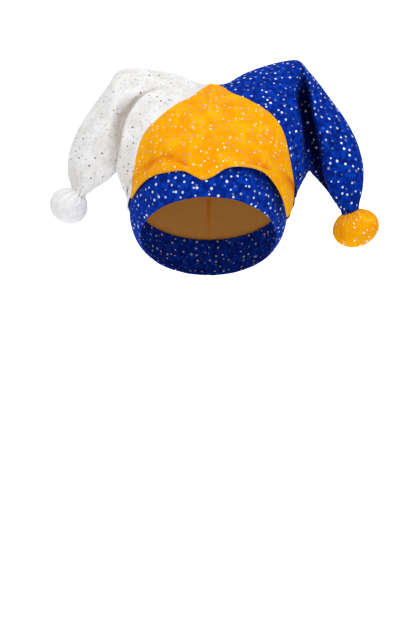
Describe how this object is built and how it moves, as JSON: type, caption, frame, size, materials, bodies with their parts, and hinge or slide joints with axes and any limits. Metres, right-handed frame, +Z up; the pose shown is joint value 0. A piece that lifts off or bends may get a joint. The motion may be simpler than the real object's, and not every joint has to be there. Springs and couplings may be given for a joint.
{
  "type": "jester hat",
  "caption": "Soft velour jester hat in its worn form, with drooping hollow horns, pompoms at their tips, scalloped leaves front and back and a folded head band.",
  "frame": {"origin": "centre of the ring that the head band's lower edge makes round the head", "axes": "+Z up as worn, the front of the hat along -Y, the wearer's left horn towards +X"},
  "size_m": [0.3307, 0.1947, 0.2246],
  "materials": {
    "blue_velour": "short-pile velour with small foil dots",
    "gold_velour": "short-pile velour with small foil dots",
    "white_velour": "short-pile velour with small foil dots"
  },
  "bodies": {
    "root": {"head_band": "blue_velour", "front_leaf_left_half": "gold_velour", "front_leaf_right_half": "gold_velour", "back_leaf_left_half": "gold_velour", "back_leaf_right_half": "gold_velour", "left_horn_front_panel": "white_velour", "left_horn_back_panel": "blue_velour", "right_horn_front_panel": "blue_velour", "right_horn_back_panel": "white_velour", "white_pompom": "white_velour", "gold_pompom": "gold_velour"}
  },
  "joints": []
}
